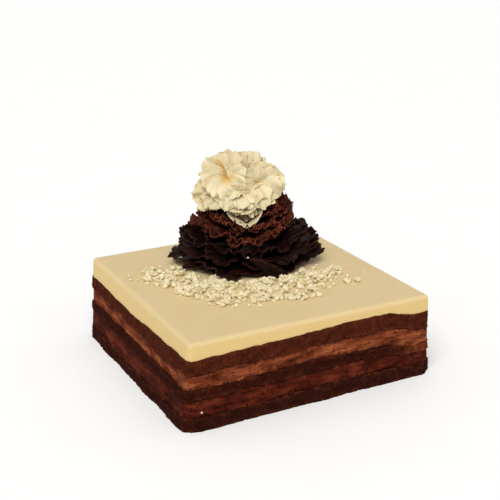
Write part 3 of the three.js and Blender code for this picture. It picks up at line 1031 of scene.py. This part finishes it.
# %% Petals of milk chocolate
BROWN_EDGES = [
    # angle from the viewer in degrees, radius and height of the frilled edge
    (-85, 36, 40), (-68, 41, 34), (-42, 38, 31), (-22, 39, 28.5), (-2, 40, 27), (18, 39, 28),
    (38, 38, 31), (60, 35, 36), (82, 33, 42), (-72, 27, 48), (-48, 31, 41), (-24, 33, 35),
    (2, 33, 34), (26, 33, 36), (50, 30, 42), (74, 28, 48), (115, 30, 44), (150, 30, 43),
    (185, 30, 44), (220, 30, 43), (250, 30, 44),
]
BROWN_PETALS = []
for k, (angle, radius, height) in enumerate(BROWN_EDGES):
    right, towards = math.sin(math.radians(angle)), math.cos(math.radians(angle))
    radius += 1.5 * scatter(k)
    height += 2 * scatter(k + 4.3)
    root, bend = radius * 0.3, radius * 0.8
    BROWN_PETALS.append({
        "path": [(right * root, towards * root, height - 9),
                 (right * bend, towards * bend, height - 5),
                 (right * radius, towards * radius, height)],
        "face": (right * 0.3, towards * 0.3, 1), "width": 22 + 4 * scatter(k + 1.7), "cup": 0.15,
        "frill": 2 + 0.5 * scatter(k), "frills": 4 + 1.4 * scatter(k + 2.9), "torn": 0.2,
    })
# the tall one on the right
BROWN_PETALS.append({
    "path": [(12, 4, 26), (25, 8, 34), (28, 4, 50)], "face": (0.2, 1, 0.3), "width": 16, "cup": 0.1,
    "frill": 1.3,
})
flower["brown"].append(petals("brown_petals", SLOTS["brown"], FILM, BROWN_PETALS, columns=48))
print("brown petals:", len(BROWN_PETALS))

# %% Petals of dark chocolate
DARK_FILM = 0.8  # mm
DARK_PETALS = [
    # two flat tongues on the left
    {"path": [(-16, 6, 5), (-38, 13, 13), (-56, 20, 8)], "face": (0, 0.3, 1), "width": 15, "cup": 0.15,
     "round": 0.9, "frill": 0.7},
    {"path": [(-12, 10, 3), (-30, 22, 8), (-45, 30, 2.5)], "face": (0, 0.3, 1), "width": 12, "cup": 0.1,
     "round": 0.9, "frill": 0.6},
    # the one that stands upright at the foot, and the broad one beside it
    {"path": [(4, 20, 3), (10, 48, 1.5), (13, 46, 14.5)], "face": (0, 1, 0.2), "width": 46, "cup": -0.3,
     "frill": 0.7, "round": 0.4},
    {"path": [(-4, 14, 4), (-20, 42, 3), (-24, 47, 8)], "face": (-0.2, 0.6, 1), "width": 38, "cup": 0.05,
     "frill": 1.4},
]
FAN = {"frill": 2, "frills": 5, "torn": 0.12}
DARK_PETALS += [{**FAN, **petal} for petal in (
    {"path": [(-14, 2, 14), (-36, 4, 14), (-46, 0, 26)], "face": (0.3, 0.8, 0.6), "width": 26, "cup": 0.4},
    {"path": [(-14, 8, 10), (-34, 16, 16), (-45, 12, 24)], "face": (0.1, 0.8, 0.8), "width": 28, "cup": 0.2,
     "frills": 4},
    {"path": [(-14, 8, 8), (-38, 14, 10), (-48, 11, 17)], "face": (0.2, 0.6, 1), "width": 24, "cup": 0.3},
    {"path": [(-10, 14, 12), (-22, 34, 18), (-28, 36, 20)], "face": (0, 0.8, 0.8), "width": 30, "cup": 0.1},
    {"path": [(0, 16, 12), (2, 40, 20), (2, 43, 19)], "face": (0, 0.7, 1), "width": 34, "cup": 0.05},
    {"path": [(14, 2, 12), (38, 6, 12), (50, 0, 22)], "face": (-0.3, 0.8, 0.6), "width": 28, "cup": 0.4},
    {"path": [(12, 10, 12), (32, 20, 20), (42, 16, 26)], "face": (0.1, 0.8, 0.8), "width": 30, "cup": 0.2,
     "frills": 4},
    {"path": [(14, 6, 6), (38, 10, 10), (56, 6, 11)], "face": (0, 0.5, 1), "width": 24, "cup": 0.3},
    {"path": [(10, 12, 8), (28, 34, 16), (36, 36, 13)], "face": (0.1, 0.5, 1), "width": 28, "cup": 0.25,
     "frill": 2.2},
)]
flower["dark"].append(petals("dark_petals", SLOTS["dark"], DARK_FILM, DARK_PETALS, columns=60))
print("dark petals:", len(DARK_PETALS))

# %% [markdown]
# ## Strayed crumbs
# Four white crumbs lie where no others do: two on the left tongue, one on a dark ruffle and one on
# the cut side near the foot. They are so few that their places are simply written down.

# %% Strayed crumbs
STRAY_RADIUS = 0.8  # mm
STRAYS = [
    seen(-48.7, 18, 6.4),
    seen(-47, 20, 7.6),
    seen(1.3, 44.5, 16),
    Vector((-83.2, -88.6, 13.8)),
]
bm = bmesh.new()
for place in STRAYS:
    there = Matrix.Translation(place * MM)
    made = bmesh.ops.create_icosphere(bm, subdivisions=1, radius=STRAY_RADIUS * MM, matrix=there)
    back = Matrix.Translation(-place * MM)
    bmesh.ops.scale(bm, verts=made["verts"], vec=(1, 1, FLATTENED), space=back)
strays = object_from(bm, "stray_crumbs")
strays.data.materials.append(crumbs.data.materials[0])
print("stray crumbs:", len(STRAYS))

# %% [markdown]
# ## Finishes of the flower
# The film is thin where it has been stretched to the frilled edge, so milk chocolate looks lighter
# and warmer there, and dark chocolate does so a little; the raised creases at that edge also get a
# painted highlight. Milk chocolate is painted lighter on its raised creases and darker in the sunken
# ones, as painted highlight and painted shade. White chocolate lets some light in, and gets painted
# shade, a deep yellow, in its pits towards the gathered end. A ruffle's own UV map says how far a
# point is from the gathered end, so the finish follows every fold.


# %% Dark chocolate
def paint(colour, finish):
    """Give a finish to all the pieces of a colour, and to the solid core that they grow from."""
    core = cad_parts[f"{colour}_core"]
    core.data.materials.clear()
    for piece in (*flower[colour], core):
        piece.data.materials.append(finish)
    print(f"{colour} pieces:", len(flower[colour]))


def dark_look(start):
    out = start.outwards()
    bloom = start.noise(6, detail=4)
    creases = start.noise(2.4, detail=4, roughness=0.6, distortion=0.6)
    # raised creases near the frilled edge are lighter: partly the thin film, partly a painted highlight
    rim = (out ** 8) * creases.step(0.4, 0.65) * 0.7
    base = bloom.mix(opaque(13, 6, 5), opaque(27, 12, 10))
    return {
        "Base Color": rim.mix(base, opaque(72, 34, 24)),
        "Roughness": 0.42,
        "Specular IOR Level": 0.1,
        "Height": creases * 0.7,
    }


paint("dark", material("dark_chocolate_film", dark_look))


# %% Milk chocolate
def brown_look(start):
    out = start.outwards()
    bloom = start.noise(9, detail=4)
    creases = start.noise(2, detail=4, roughness=0.6, distortion=0.8)
    # raised creases at the frilled edge turn orange brown: partly the thin film, partly a painted highlight
    rim = (out ** 4) * creases.step(0.42, 0.62) * bloom.step(0.36, 0.58)
    # creases painted lighter where they rise and darker where they sink: painted highlight and painted shade
    base = creases.mix(opaque(40, 13, 8), opaque(78, 33, 21))
    return {
        "Base Color": rim.mix(base, opaque(128, 62, 38)),
        "Roughness": 0.5,
        "Specular IOR Level": 0.12,
        "Height": creases * 0.6,
    }


paint("brown", material("milk_chocolate_film", brown_look))


# %% White chocolate
def white_look(start):
    out = start.outwards()
    bloom = start.noise(8, detail=3)
    ridges = start.noise(2.2, detail=3)
    # towards the gathered end the film turns a deep yellow: painted shade in the pits
    deep = 1 - out.step(0.04, 0.6)
    base = bloom.mix(opaque(213, 198, 158), opaque(224, 211, 175))
    return {
        "Base Color": deep.mix(base, opaque(208, 163, 76)),
        "Roughness": 0.5,
        "Specular IOR Level": 0.25,
        "Subsurface Weight": 0.25,
        "Subsurface Radius": (1.0, 0.8, 0.45),
        "Subsurface Scale": 2 * MM,
        "Height": ridges * 0.25,
    }


paint("white", material("white_chocolate_film", white_look))
